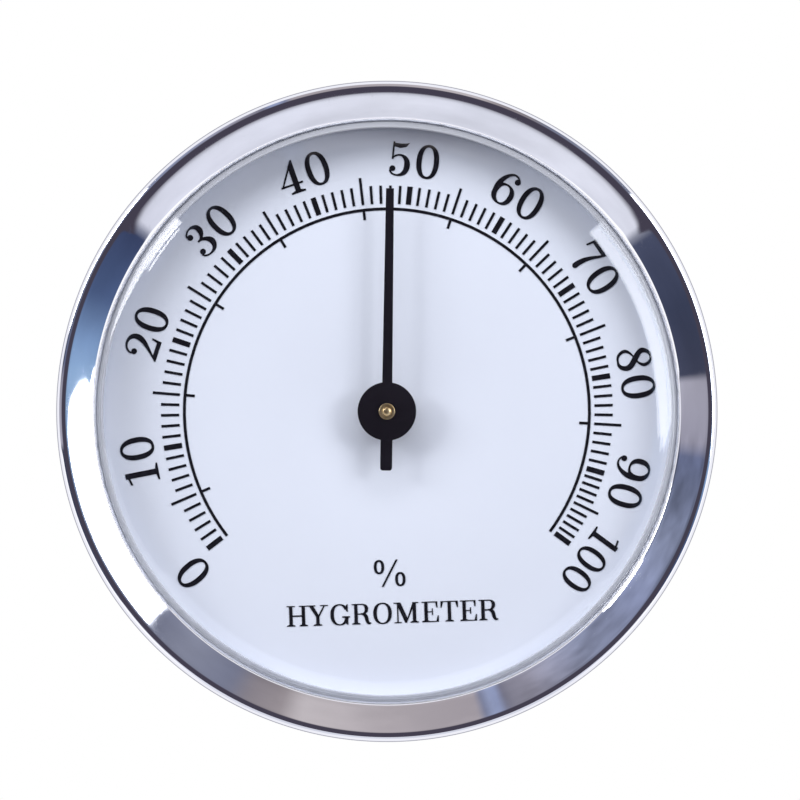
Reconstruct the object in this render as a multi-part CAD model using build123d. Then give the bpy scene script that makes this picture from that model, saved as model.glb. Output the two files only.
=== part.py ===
from build123d import *
import os
from math import copysign, cos, pi, radians, sin

# A 72 mm insert dial hygrometer. Millimetres. The dial faces -Y, 12 o'clock is +Z, and the
# origin is the middle of the bezel's back face, which sits on the front of the panel.
# Depths run along +Y, so what stands in front of the panel has negative depths.

# Bezel: a ring pressed from sheet, with a rolled rim and a polished band sloping in to the
# lens. Tilts are those of the surface's normal, from -Y towards the rim.
BEZEL_RADIUS = 36.0
BEZEL_SHEET = 0.7
BEZEL_BACK_EDGE = 0.4
RIM_RADIUS = 0.8
RIM_DEPTH = -4.4
BAND_OUTER_TILT = -20.0
BAND_INNER_TILT = -25.0
BAND_INNER_RADIUS = 32.2
LIP_RADIUS = 0.9
LIP_END = -3.15
BEZEL_BACK_FRONT = -0.7
BEZEL_BACK_INNER = 32.9

# Lens: a shallow dome that curves down to an upright wall on a flat flange. Its front
# is of even thickness.
LENS_THICKNESS = 0.7
LENS_RADIUS = 31.6
LENS_FLANGE_RADIUS = 32.6
LENS_FLANGE_FRONT = -2.8
LENS_FLANGE_BACK = -1.9
LENS_WALL_FRONT = -3.3
# (radius, tilt of the normal where it ends) of the arcs from the dome's edge to the wall.
LENS_ARCS = [(5.0, 20.0), (7.7, 37.0), (0.5, 90.0)]
LENS_DOME_TILT = 6.0
LENS_INNER_WALL = 30.9
GASKET_INNER = 31.75
GASKET_OUTER = 32.5
GASKET_GAP = 0.015

# Case cup and the soft ring that grips the panel's hole.
CASE_FRONT_RADIUS = 32.2
CASE_NECK_RADIUS = 31.95
CASE_RADIUS = 31.5
CASE_INNER_RADIUS = 30.3
CASE_FLANGE_RADIUS = 34.85
CASE_FLANGE_FRONT = -1.5
CASE_BACK = 15.0
CASE_FLOOR = 13.8
CASE_CORNER = 1.2
DIAL_POCKET_RADIUS = 31.5
GRIP_RADIUS = 32.5
GRIP_LENGTH = 7.0
GRIP_CHAMFER = 0.3
SCREWDRIVER_HOLE_RADIUS = 4.2
VENT_COUNT = 20
VENT_LENGTH = 11.0
VENT_WIDTH = 1.8
VENT_CIRCLE_RADIUS = 19.5

# Dial plate and what is printed on it.
DIAL_RADIUS = 31.4
DIAL_BACK = -0.5
DIAL_FRONT = -1.0
SPACER_OUTER = 31.4
SPACER_INNER = 30.85
INK = 0.04
DIAL_TWIST = -0.8
SCALE_START = -126.6
# (up to this reading, degrees for each per cent): the scale opens out towards dry air.
SCALE_STEPS = [(20, 2.8), (30, 2.7), (40, 2.53), (90, 2.5), (100, 2.0)]
ARC_RADIUS = 22.08
ARC_WIDTH = 0.32
ARC_OVERRUN = 0.5
TICK_INNER = 22.64
TICK_OUTER = 24.63
FIVES_OUTER = 25.6
TICK_WIDTH = 0.29
TENS_WIDTH = 0.57
MARK_INNER = 21.0
LAST_INNER_MARK = 85
NUMERAL_BASELINE = 25.66
NUMERAL_HEIGHT = 3.68
NUMERAL_GAP = 0.18
HUNDRED_GAP = 0.14
HUNDRED_SIZE = 0.9
# How far the numbers stand from their lines, in degrees clockwise.
NUMERAL_SHIFT = {0: -2.4, 10: -1.8, 20: -0.4, 40: -0.2, 70: -0.4}
NUMERAL_USUAL_SHIFT = 0.4
WORD = "HYGROMETER"
WORD_HEIGHT = 2.24
WORD_GAP = 0.1
WORD_KERNING = {"HY": -0.14, "ME": 0.07}
WORD_TWIST = 1.9
WORD_CENTRE = (0.65, -23.1)
PERCENT_CENTRE = (0.35, -19.1)
PERCENT_HEIGHT = 3.0

# Pen widths of the lettering, as shares of its height.
STEM = 0.165
HAIRLINE = 0.055
SERIF = 0.05
BALL = 0.088
OVAL_POINTS = 16
OVAL_FULLNESS = 2.25

# Pointer and its shaft.
REST_ANGLE = 0.8
POINTER_FRONT = -2.9
POINTER_BACK = -2.65
POINTER_DISC_RADIUS = 3.19
POINTER_TIP = 24.3
POINTER_ROOT_WIDTH = 1.1
POINTER_TIP_WIDTH = 0.86
TAIL_END = 6.45
TAIL_WIDTH = 1.3
TAIL_ROUNDING = 0.3
BUSH_RADIUS = 0.89
BUSH_FRONT = -3.15
BUSH_FLANGE_RADIUS = 1.5
BUSH_BACK = -2.05
ARBOR_RADIUS = 0.5
ARBOR_FRONT = -3.35
ARBOR_DOME = 0.2
ARBOR_SHOULDER = 8.6
PIVOT_RADIUS = 0.3
PIVOT_END = 10.3
COLLAR_RADIUS = 1.1
COLLAR_FRONT = 0.8
COLLAR_BACK = 1.4
RUNNING_GAP = 0.04

# Front bearing, bracket and the dial feet that hold the bracket.
BEARING_FLANGE_RADIUS = 2.3
BEARING_FRONT = -1.5
BEARING_RADIUS = 1.6
BEARING_HEAD_RADIUS = 2.1
BEARING_BACK = 0.7
BRACKET_SHEET = 0.8
BRACKET_HALF_WIDTH = 4.5
BRACKET_INNER_REACH = 14.0
BRACKET_ARM_FRONT = 9.8
BRACKET_BEND = 1.0
FOOT_OFFSET = 8.0
FOOT_RADIUS = 1.0
FOOT_HOLE_GAP = 0.1
FOOT_END = 2.3
NUT_FLATS = 4.0
NUT_HEIGHT = 1.6

# Spiral coil: a metal strip with a film on its outer face.
COIL_FRONT = 3.0
COIL_BACK = 8.0
COLLET_RADIUS = 1.6
COIL_INNER_RADIUS = 1.65
COIL_PITCH = 1.9
COIL_HALF_TURNS = 10
STRIP_THICKNESS = 0.12
FILM_THICKNESS = 0.13
TONGUE_LENGTH = 2.0

# Calibration hub, arm and stud.
HUB_FRONT = 8.7
HUB_FLANGE_RADIUS = 3.6
HUB_NECK_FRONT = 9.1
HUB_NECK_RADIUS = 2.4
HUB_END = 12.6
HUB_GROOVE_RADIUS = 2.0
HUB_SLOT_WIDTH = 0.9
HUB_SLOT_DEPTH = 1.0
PIVOT_BORE_END = 10.6
ARM_BACK = 9.6
ARM_HALF_WIDTH = 1.9
STUD_RADIUS = 1.1
STUD_FRONT = 2.8
STUD_RISE = 1.0
STUD_SLOT = 0.6
WASHER_FRONT = 10.65
WASHER_BACK = 11.0
WASHER_SHEET = 0.2
WASHER_INNER = 2.45
WASHER_OUTER = 4.2
CLIP_BACK = 11.5
CLIP_RADIUS = 3.5
CLIP_OPENING = 2.6

BRACKET_FRONT = DIAL_BACK
BRACKET_ARM_BACK = BRACKET_ARM_FRONT + BRACKET_SHEET
PLATE_BACK = BRACKET_FRONT + BRACKET_SHEET


def facing(depth):
    """The plane at a depth as it is seen from the front: x to the right, y up."""
    return Plane(origin=(0, depth, 0), x_dir=(1, 0, 0), z_dir=(0, -1, 0))


def raised(sketch, back, front):
    """A sketch as a solid from one depth forward to another."""
    return extrude(facing(back) * sketch, amount=back - front)


def turned(*corners):
    """A solid of revolution about Y from its (radius, depth) corners."""
    return revolve(make_face(Polyline(*corners, close=True)), Axis.Y)


def tube(inner, outer, front, back):
    """A plain ring about Y."""
    return turned((inner, front), (outer, front), (outer, back), (inner, back))


def rod(radius, front, back):
    """A plain round bar along Y."""
    return turned((0, front), (radius, front), (radius, back), (0, back))


def on_arc(centre, radius, tilt):
    """The point of an arc whose outward normal leans this far from -Y towards the rim."""
    return (
        centre[0] + radius * sin(radians(tilt)),
        centre[1] - radius * cos(radians(tilt)),
    )


def arc(centre, radius, start, end):
    """An arc of a turned profile between two tilts of its normal."""
    middle = (start + end) / 2
    return ThreePointArc(*(on_arc(centre, radius, tilt) for tilt in (start, middle, end)))


# --- bezel, lens and gasket ---

RIM_CENTRE = (BEZEL_RADIUS - RIM_RADIUS, RIM_DEPTH)
BAND_START = on_arc(RIM_CENTRE, RIM_RADIUS, BAND_OUTER_TILT)
BAND_RADIUS = (BAND_START[0] - BAND_INNER_RADIUS) / (
    sin(radians(BAND_OUTER_TILT)) - sin(radians(BAND_INNER_TILT))
)
BAND_CENTRE = on_arc(BAND_START, -BAND_RADIUS, BAND_OUTER_TILT)
BAND_END = on_arc(BAND_CENTRE, BAND_RADIUS, BAND_INNER_TILT)
LIP_CENTRE = on_arc(BAND_END, -LIP_RADIUS, BAND_INNER_TILT)
LIP_INNER = LIP_CENTRE[0] - LIP_RADIUS


def bezel_face(offset):
    """The arcs of the bezel's face, or of its inside when offset is the sheet's thickness."""
    return [
        arc(RIM_CENTRE, RIM_RADIUS - offset, 90, BAND_OUTER_TILT),
        arc(BAND_CENTRE, BAND_RADIUS - offset, BAND_OUTER_TILT, BAND_INNER_TILT),
        arc(LIP_CENTRE, LIP_RADIUS - offset, BAND_INNER_TILT, -90),
    ]


def bezel():
    face = bezel_face(0)
    inside = bezel_face(BEZEL_SHEET)
    lip_edge = Polyline(
        face[-1] @ 1,
        (LIP_INNER, LIP_END),
        (LIP_INNER + BEZEL_SHEET, LIP_END),
        inside[-1] @ 1,
    )
    back_edge = Polyline(
        inside[0] @ 0,
        (BEZEL_RADIUS - BEZEL_SHEET, BEZEL_BACK_FRONT),
        (BEZEL_BACK_INNER, BEZEL_BACK_FRONT),
        (BEZEL_BACK_INNER, 0),
        (BEZEL_RADIUS - BEZEL_BACK_EDGE, 0),
        (BEZEL_RADIUS, -BEZEL_BACK_EDGE),
        face[0] @ 0,
    )
    outline = [*face, *lip_edge.edges(), *inside, *back_edge.edges()]
    return revolve(make_face(outline), Axis.Y)


def lens():
    outer, inner = [], []
    end = (LENS_RADIUS, LENS_WALL_FRONT)
    starts = [LENS_DOME_TILT] + [tilt for radius, tilt in LENS_ARCS[:-1]]
    for start, (radius, tilt) in reversed(list(zip(starts, LENS_ARCS))):
        centre = on_arc(end, -radius, tilt)
        outer.append(arc(centre, radius, start, tilt))
        if radius > LENS_THICKNESS:
            inner.append(arc(centre, radius - LENS_THICKNESS, start, tilt))
        end = on_arc(centre, radius, start)
    dome_radius = end[0] / sin(radians(LENS_DOME_TILT))
    dome_centre = on_arc(end, -dome_radius, LENS_DOME_TILT)
    outer.append(arc(dome_centre, dome_radius, 0, LENS_DOME_TILT))
    inner.append(arc(dome_centre, dome_radius - LENS_THICKNESS, 0, LENS_DOME_TILT))
    flange = Polyline(
        (LENS_RADIUS, LENS_WALL_FRONT),
        (LENS_RADIUS, LENS_FLANGE_FRONT),
        (LENS_FLANGE_RADIUS, LENS_FLANGE_FRONT),
        (LENS_FLANGE_RADIUS, LENS_FLANGE_BACK),
        (LENS_INNER_WALL, LENS_FLANGE_BACK),
        inner[0] @ 1,
    )
    middle = Line(inner[-1] @ 0, outer[-1] @ 0)
    return revolve(make_face([*outer, *inner, middle, *flange.edges()]), Axis.Y)


def lens_gasket():
    return tube(GASKET_INNER, GASKET_OUTER, LIP_END + GASKET_GAP, LENS_FLANGE_FRONT)


# --- case ---


def rear_case():
    cup = turned(
        (0, CASE_FLOOR),
        (CASE_INNER_RADIUS, CASE_FLOOR),
        (CASE_INNER_RADIUS, DIAL_BACK),
        (DIAL_POCKET_RADIUS, DIAL_BACK),
        (DIAL_POCKET_RADIUS, LENS_FLANGE_BACK),
        (CASE_FRONT_RADIUS, LENS_FLANGE_BACK),
        (CASE_FRONT_RADIUS, CASE_FLANGE_FRONT),
        (CASE_FLANGE_RADIUS, CASE_FLANGE_FRONT),
        (CASE_FLANGE_RADIUS, BEZEL_BACK_FRONT),
        (CASE_NECK_RADIUS, BEZEL_BACK_FRONT),
        (CASE_NECK_RADIUS, 0),
        (CASE_RADIUS, 0),
        (CASE_RADIUS, CASE_BACK - CASE_CORNER),
        (CASE_RADIUS - CASE_CORNER, CASE_BACK),
        (0, CASE_BACK),
    )
    cup -= rod(SCREWDRIVER_HOLE_RADIUS, CASE_FLOOR - 1, CASE_BACK + 1)
    slot = Pos(0, VENT_CIRCLE_RADIUS) * Rot(0, 0, 90) * SlotOverall(VENT_LENGTH, VENT_WIDTH)
    slots = Sketch() + PolarLocations(0, VENT_COUNT) * slot
    return cup - raised(slots, CASE_BACK + 1, CASE_FLOOR - 1)


def grip_ring():
    return turned(
        (CASE_RADIUS, 0),
        (GRIP_RADIUS, 0),
        (GRIP_RADIUS, GRIP_LENGTH),
        (GRIP_RADIUS - GRIP_CHAMFER, GRIP_LENGTH + GRIP_CHAMFER),
        (CASE_RADIUS, GRIP_LENGTH + GRIP_CHAMFER),
    )


# --- dial and its print ---


def scale_angle(reading):
    """Degrees clockwise from 12 o'clock at which a reading is printed."""
    angle = SCALE_START + DIAL_TWIST
    done = 0
    for limit, step in SCALE_STEPS:
        share = min(reading, limit) - done
        if share > 0:
            angle += share * step
            done += share
    return angle


def dial_plate():
    hole = Circle(BEARING_RADIUS)
    return raised(Circle(DIAL_RADIUS) - hole, DIAL_BACK, DIAL_FRONT)


def tick(angle, inner, outer, width):
    """A line of the scale, pointing at the dial's middle."""
    line = Pos(0, (inner + outer) / 2) * Rectangle(width, outer - inner)
    return Rot(0, 0, -angle) * line


def scale_arc():
    start = 90 - scale_angle(100) - ARC_OVERRUN
    sweep = scale_angle(100) - scale_angle(0) + 2 * ARC_OVERRUN
    inner = CenterArc((0, 0), ARC_RADIUS - ARC_WIDTH / 2, start, sweep)
    outer = CenterArc((0, 0), ARC_RADIUS + ARC_WIDTH / 2, start, sweep)
    return make_face([inner, Line(inner @ 1, outer @ 1), outer, Line(outer @ 0, inner @ 0)])


def scale_print():
    marks = []
    for reading in range(101):
        angle = scale_angle(reading)
        outer = FIVES_OUTER if reading % 10 == 5 else TICK_OUTER
        width = TENS_WIDTH if reading % 10 == 0 else TICK_WIDTH
        marks.append(tick(angle, TICK_INNER, outer, width))
    band = scale_arc()
    for reading in range(5, LAST_INNER_MARK + 1, 10):
        band += tick(scale_angle(reading), MARK_INNER, ARC_RADIUS, TICK_WIDTH)
    return [raised(sketch, DIAL_FRONT, DIAL_FRONT - INK) for sketch in [band, *marks]]


# --- lettering: each glyph stands on y = 0 and is 1 high, and starts at x = 0 ---


def pen(points, widths):
    """A stroke along a smooth line through the points, as wide at each as its width says."""
    line = Spline(*points)
    left, right = [], []
    for point, width in zip(points, widths):
        along = line % line.param_at_point(point)
        aside = Vector(-along.Y, along.X) * (width / 2)
        left.append(Vector(*point) + aside)
        right.append(Vector(*point) - aside)
    one, other = Spline(*left), Spline(*right)
    return make_face([one, Line(one @ 1, other @ 1), other, Line(other @ 0, one @ 0)])


def shape(*corners):
    """A straight-sided piece of a glyph."""
    return make_face(Polyline(*corners, close=True))


def bar(left, right, bottom, top):
    return shape((left, bottom), (right, bottom), (right, top), (left, top))


def oval(half_width, half_height):
    """An oval a little fuller than an ellipse, as a closed curve through points of its formula."""
    points = []
    for step in range(OVAL_POINTS):
        angle = 2 * pi * step / OVAL_POINTS
        across, up = cos(angle), sin(angle)
        x = copysign(abs(across) ** (2 / OVAL_FULLNESS), across) * half_width
        y = copysign(abs(up) ** (2 / OVAL_FULLNESS), up) * half_height
        points.append((x, y))
    return make_face(Spline(*points, periodic=True))


def ring(centre, outer, inner):
    """An oval ring from the half widths and half heights of its outside and inside."""
    return Pos(*centre) * (oval(*outer) - oval(*inner))


def ball(x, y):
    return Pos(x, y) * Circle(BALL)


def foot(middle, half_width):
    """A serif under a stem, with sloping shoulders."""
    return shape(
        (middle - half_width, 0),
        (middle + half_width, 0),
        (middle + half_width, SERIF),
        (middle + STEM / 2, 0.09),
        (middle - STEM / 2, 0.09),
        (middle - half_width, SERIF),
    )


def stem(middle, top=1.0, bottom=0.0):
    return bar(middle - STEM / 2, middle + STEM / 2, bottom, top)


def zero():
    return ring((0.335, 0.5), (0.335, 0.51), (0.18, 0.435))


def one():
    flag = shape((0, 0.82), (0.2, 0.88), (0.36, 0.8), (0.36, 1), (0.31, 1), (0.18, 0.935), (0, 0.885))
    return stem(0.28) + flag + foot(0.28, 0.25)


def two():
    points = [(0.03, 0.76), (0.12, 0.93), (0.31, 0.98), (0.49, 0.9), (0.54, 0.71)]
    points += [(0.45, 0.5), (0.25, 0.27), (0.05, 0.05)]
    widths = [0.05, 0.06, 0.07, 0.13, 0.165, 0.14, 0.08, 0.06]
    base = shape((0, 0), (0.6, 0), (0.64, 0.3), (0.59, 0.3), (0.54, 0.13), (0.12, 0.13), (0, 0.05))
    return pen(points, widths) + ball(0.1, 0.7) + base


def three():
    top = [(0.04, 0.83), (0.13, 0.94), (0.28, 0.975), (0.43, 0.91)]
    top += [(0.475, 0.75), (0.39, 0.58), (0.2, 0.515)]
    low = [(0.2, 0.515), (0.42, 0.45), (0.53, 0.27), (0.45, 0.08)]
    low += [(0.27, 0.02), (0.11, 0.06), (0.03, 0.17)]
    upper = pen(top, [0.05, 0.055, 0.06, 0.13, 0.165, 0.1, 0.05])
    lower = pen(low, [0.05, 0.11, 0.17, 0.12, 0.06, 0.055, 0.05])
    return upper + ball(0.115, 0.775) + lower + ball(0.105, 0.215)


def four():
    slope = shape((0, 0.25), (0.055, 0.25), (0.47, 0.86), (0.53, 1), (0.49, 1))
    cross = bar(0, 0.67, 0.25, 0.31)
    mast = shape((0.375, 0), (0.375 + STEM, 0), (0.375 + STEM, 1), (0.49, 1), (0.375, 0.83))
    return slope + cross + mast + foot(0.375 + STEM / 2, 0.22)


def five():
    flag_top = [(0.06, 1), (0.12, 0.97), (0.3, 0.965), (0.46, 0.98), (0.55, 1.01)]
    flag = shape(*flag_top, (0.46, 0.88), (0.28, 0.83), (0.06, 0.87))
    back = bar(0.06, 0.11, 0.48, 1)
    points = [(0.08, 0.5), (0.17, 0.59), (0.32, 0.62), (0.47, 0.53), (0.53, 0.31)]
    points += [(0.45, 0.1), (0.27, 0.02), (0.12, 0.05), (0.035, 0.16)]
    widths = [0.05, 0.055, 0.06, 0.13, 0.17, 0.13, 0.06, 0.055, 0.05]
    return flag + back + pen(points, widths) + ball(0.11, 0.205)


def six():
    points = [(0.59, 0.87), (0.5, 0.96), (0.37, 0.975), (0.21, 0.86)]
    points += [(0.1, 0.64), (0.08, 0.4), (0.14, 0.15), (0.33, 0.02)]
    back = pen(points, [0.05, 0.05, 0.06, 0.1, 0.15, 0.165, 0.13, 0.06])
    return back + ball(0.55, 0.835) + ring((0.34, 0.315), (0.33, 0.325), (0.175, 0.265))


def seven():
    top = shape((0, 0.7), (0.05, 0.7), (0.1, 0.885), (0.56, 0.885), (0.64, 1), (0.05, 1))
    points = [(0.6, 0.97), (0.47, 0.68), (0.37, 0.42), (0.335, 0.2), (0.335, 0.07)]
    return top + pen(points, [0.06, 0.09, 0.13, 0.16, 0.165]) + Pos(0.335, 0.07) * Circle(STEM / 2)


def eight():
    thick = [(0.33, 0.985), (0.16, 0.91), (0.11, 0.76), (0.21, 0.62)]
    thick += [(0.4, 0.48), (0.57, 0.28), (0.53, 0.09), (0.33, 0.015)]
    thin = [(0.3, 0.982), (0.49, 0.92), (0.54, 0.77), (0.45, 0.61)]
    thin += [(0.22, 0.46), (0.07, 0.26), (0.15, 0.08), (0.36, 0.018)]
    heavy = pen(thick, [0.05, 0.11, 0.15, 0.16, 0.17, 0.16, 0.12, 0.05])
    return heavy + pen(thin, [0.05, 0.085, 0.1, 0.06, 0.05, 0.1, 0.085, 0.05])


def nine():
    return Pos(0.66, 1) * Rot(0, 0, 180) * six()


def letter_h():
    return stem(0.2) + stem(0.81) + bar(0.2, 0.81, 0.47, 0.54) + slabs(0.2, 0.2) + slabs(0.81, 0.2)


def letter_y():
    left = shape((0.1, 1), (0.31, 1), (0.62, 0.44), (0.45, 0.44))
    right = shape((0.53, 0.44), (0.62, 0.44), (0.92, 1), (0.84, 1))
    heads = bar(0, 0.43, 1 - SERIF, 1) + bar(0.66, 1.05, 1 - SERIF, 1)
    return left + right + stem(0.535, 0.5) + heads + foot(0.535, 0.21)


def letter_g():
    round_part = ring((0.45, 0.5), (0.45, 0.52), (0.275, 0.455)) - bar(0.62, 1, 0.42, 0.74)
    spur = shape((0.8, 0.64), (0.86, 0.64), (0.86, 1), (0.82, 1), (0.7, 0.86))
    post = shape((0.7, 0.4), (0.7 + STEM, 0.4), (0.7 + STEM, 0), (0.82, 0), (0.7, 0.14))
    return round_part + spur + post + bar(0.58, 0.95, 0.4 - SERIF, 0.42)


def letter_r():
    bowl = ring((0.5, 0.745), (0.31, 0.255), (0.14, 0.2)) - bar(0, 0.45, 0.4, 1.1)
    joins = bar(0.2, 0.5, 1 - SERIF, 1) + bar(0.2, 0.55, 0.47, 0.53)
    points = [(0.52, 0.5), (0.68, 0.4), (0.74, 0.2), (0.82, 0.05), (0.94, 0.06)]
    leg = pen(points, [0.1, 0.17, 0.17, 0.13, 0.05])
    return stem(0.21) + slabs(0.21, 0.2) + bowl + joins + leg


def letter_o():
    return ring((0.45, 0.5), (0.45, 0.52), (0.28, 0.455))


def letter_m():
    thin = bar(0.16, 0.16 + 0.065, 0, 1)
    down = shape((0.12, 1), (0.33, 1), (0.66, 0.24), (0.6, 0), (0.54, 0))
    up = shape((0.57, 0), (0.62, 0), (0.98, 0.83), (0.98, 1), (0.93, 1))
    heads = bar(0, 0.33, 1 - SERIF, 1) + bar(0.9, 1.2, 1 - SERIF, 1)
    feet = bar(0.02, 0.37, 0, SERIF) + foot(1.0, 0.2)
    return thin + down + up + stem(1.0) + heads + feet


def letter_e():
    arms = bar(0.2, 0.78, 1 - SERIF, 1) + bar(0.2, 0.83, 0, SERIF) + bar(0.2, 0.55, 0.475, 0.525)
    ends = shape((0.73, 0.7), (0.78, 0.7), (0.78, 1), (0.66, 1)) + bar(0.5, 0.55, 0.34, 0.66)
    toe = shape((0.7, 0), (0.83, 0), (0.83, 0.32), (0.78, 0.32))
    return stem(0.22) + slabs(0.22, 0.2) + arms + ends + toe


def letter_t():
    head = bar(0, 0.85, 1 - SERIF, 1)
    left = shape((0, 0.68), (0.05, 0.68), (0.14, 1), (0, 1))
    right = shape((0.8, 0.68), (0.85, 0.68), (0.85, 1), (0.71, 1))
    return stem(0.425) + head + left + right + foot(0.425, 0.2)


def slabs(middle, half_width):
    """The serifs at both ends of a stem."""
    return foot(middle, half_width) + bar(middle - half_width, middle + half_width, 1 - SERIF, 1)


def percent():
    left = ring((0.19, 0.72), (0.19, 0.26), (0.085, 0.19))
    right = ring((0.95, 0.26), (0.19, 0.26), (0.085, 0.19))
    slash = shape((0.26, 0), (0.34, 0), (0.88, 0.98), (0.8, 0.98))
    return left + right + slash


GLYPHS = {
    "0": zero(),
    "1": one(),
    "2": two(),
    "3": three(),
    "4": four(),
    "5": five(),
    "6": six(),
    "7": seven(),
    "8": eight(),
    "9": nine(),
    "H": letter_h(),
    "Y": letter_y(),
    "G": letter_g(),
    "R": letter_r(),
    "O": letter_o(),
    "M": letter_m(),
    "E": letter_e(),
    "T": letter_t(),
    "%": percent(),
}


def row_of(text, gap):
    """The glyphs of a text side by side, centred on x = 0."""
    placed = []
    reach = 0
    for before, mark in zip(" " + text, text):
        reach += WORD_KERNING.get(before + mark, 0)
        box = GLYPHS[mark].bounding_box()
        placed.append(Pos(reach - box.min.X, 0) * GLYPHS[mark])
        reach += box.size.X + gap
    middle = (reach - gap) / 2
    return [Pos(-middle, 0) * glyph for glyph in placed]


def inked(text, gap, place, size):
    """A printed text, scaled up and moved to its place on the dial."""
    glyphs = [place * scale(glyph, by=size, about=(0, 0, 0)) for glyph in row_of(text, gap)]
    return [raised(glyph, DIAL_FRONT, DIAL_FRONT - INK) for glyph in glyphs]


def numeral_print():
    solids = []
    for reading in range(0, 101, 10):
        size = NUMERAL_HEIGHT * (HUNDRED_SIZE if reading == 100 else 1)
        gap = HUNDRED_GAP if reading == 100 else NUMERAL_GAP
        angle = scale_angle(reading) + NUMERAL_SHIFT.get(reading, NUMERAL_USUAL_SHIFT)
        place = Rot(0, 0, -angle) * Pos(0, NUMERAL_BASELINE + (NUMERAL_HEIGHT - size) / 2)
        solids += inked(str(reading), gap, place, size)
    return solids


def legend_print():
    turn = Rot(0, 0, WORD_TWIST)
    word = inked(WORD, WORD_GAP, Pos(*WORD_CENTRE) * turn, WORD_HEIGHT)
    return word + inked("%", 0, Pos(*PERCENT_CENTRE) * turn, PERCENT_HEIGHT)


def spacer_ring():
    return tube(SPACER_INNER, SPACER_OUTER, LENS_FLANGE_BACK, DIAL_FRONT)


# --- pointer and shaft ---


def pointer():
    """The pointer as it rests, a little clockwise of 12 o'clock."""
    root, tip, tail = POINTER_ROOT_WIDTH / 2, POINTER_TIP_WIDTH / 2, TAIL_WIDTH / 2
    needle = shape((-root, 0), (root, 0), (tip, POINTER_TIP), (-tip, POINTER_TIP))
    back = fillet(bar(-tail, tail, -TAIL_END, 0).vertices().sort_by(Axis.Y)[:2], TAIL_ROUNDING)
    disc = Circle(POINTER_DISC_RADIUS) + needle + back
    return raised(Rot(0, 0, -REST_ANGLE) * (disc - Circle(BUSH_RADIUS)), POINTER_BACK, POINTER_FRONT)


def pointer_bush():
    return turned(
        (ARBOR_RADIUS, BUSH_FRONT),
        (BUSH_RADIUS, BUSH_FRONT),
        (BUSH_RADIUS, POINTER_BACK),
        (BUSH_FLANGE_RADIUS, POINTER_BACK),
        (BUSH_FLANGE_RADIUS, BUSH_BACK),
        (ARBOR_RADIUS, BUSH_BACK),
    )


def arbor():
    """The shaft, with a domed front end and a thin pivot at the back."""
    shoulder = ARBOR_FRONT + ARBOR_DOME
    dome = ThreePointArc(
        (0, ARBOR_FRONT),
        (ARBOR_RADIUS * sin(radians(45)), ARBOR_FRONT + ARBOR_DOME * (1 - cos(radians(45)))),
        (ARBOR_RADIUS, shoulder),
    )
    side = Polyline(
        (ARBOR_RADIUS, shoulder),
        (ARBOR_RADIUS, ARBOR_SHOULDER),
        (PIVOT_RADIUS, ARBOR_SHOULDER),
        (PIVOT_RADIUS, PIVOT_END),
        (0, PIVOT_END),
        (0, ARBOR_FRONT),
    )
    return revolve(make_face([dome, *side.edges()]), Axis.Y)


def arbor_collar():
    return tube(ARBOR_RADIUS, COLLAR_RADIUS, COLLAR_FRONT, COLLAR_BACK)


def coil_collet():
    return tube(ARBOR_RADIUS, COLLET_RADIUS, COIL_FRONT, COIL_BACK)


# --- bearing, bracket and feet ---


def front_bearing():
    bore = ARBOR_RADIUS + RUNNING_GAP
    return turned(
        (bore, BEARING_FRONT),
        (BEARING_FLANGE_RADIUS, BEARING_FRONT),
        (BEARING_FLANGE_RADIUS, DIAL_FRONT),
        (BEARING_RADIUS, DIAL_FRONT),
        (BEARING_RADIUS, PLATE_BACK),
        (BEARING_HEAD_RADIUS, PLATE_BACK),
        (BEARING_HEAD_RADIUS, BEARING_BACK),
        (bore, BEARING_BACK),
    )


def movement_bracket():
    """A strip bent into a U: its middle lies on the dial's back, its arm holds the hub."""
    outer = BRACKET_INNER_REACH + BRACKET_SHEET
    side = RectangleRounded(2 * outer, BRACKET_ARM_BACK - BRACKET_FRONT, BRACKET_BEND)
    inside = Rectangle(2 * BRACKET_INNER_REACH, BRACKET_ARM_FRONT - PLATE_BACK)
    section_plane = Plane.XY.offset(-BRACKET_HALF_WIDTH)
    middle = (BRACKET_FRONT + BRACKET_ARM_BACK) / 2
    section = section_plane * Pos(0, middle) * (side - inside)
    frame = extrude(section, amount=2 * BRACKET_HALF_WIDTH)
    frame -= rod(BEARING_RADIUS, BRACKET_FRONT - 1, PLATE_BACK + 1)
    frame -= rod(HUB_NECK_RADIUS + RUNNING_GAP, BRACKET_ARM_FRONT - 1, BRACKET_ARM_BACK + 1)
    holes = [Pos(x, 0) * Circle(FOOT_RADIUS + FOOT_HOLE_GAP) for x in (-FOOT_OFFSET, FOOT_OFFSET)]
    for hole in holes:
        frame -= raised(hole, PLATE_BACK + 1, BRACKET_FRONT - 1)
    return frame


def dial_feet():
    return [Pos(x, 0, 0) * rod(FOOT_RADIUS, DIAL_BACK, FOOT_END) for x in (-FOOT_OFFSET, FOOT_OFFSET)]


def feet_nuts():
    nut = RegularPolygon(NUT_FLATS / 2, 6, major_radius=False) - Circle(FOOT_RADIUS)
    return [
        raised(Pos(x, 0) * nut, PLATE_BACK + NUT_HEIGHT, PLATE_BACK)
        for x in (-FOOT_OFFSET, FOOT_OFFSET)
    ]


# --- coil ---


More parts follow.
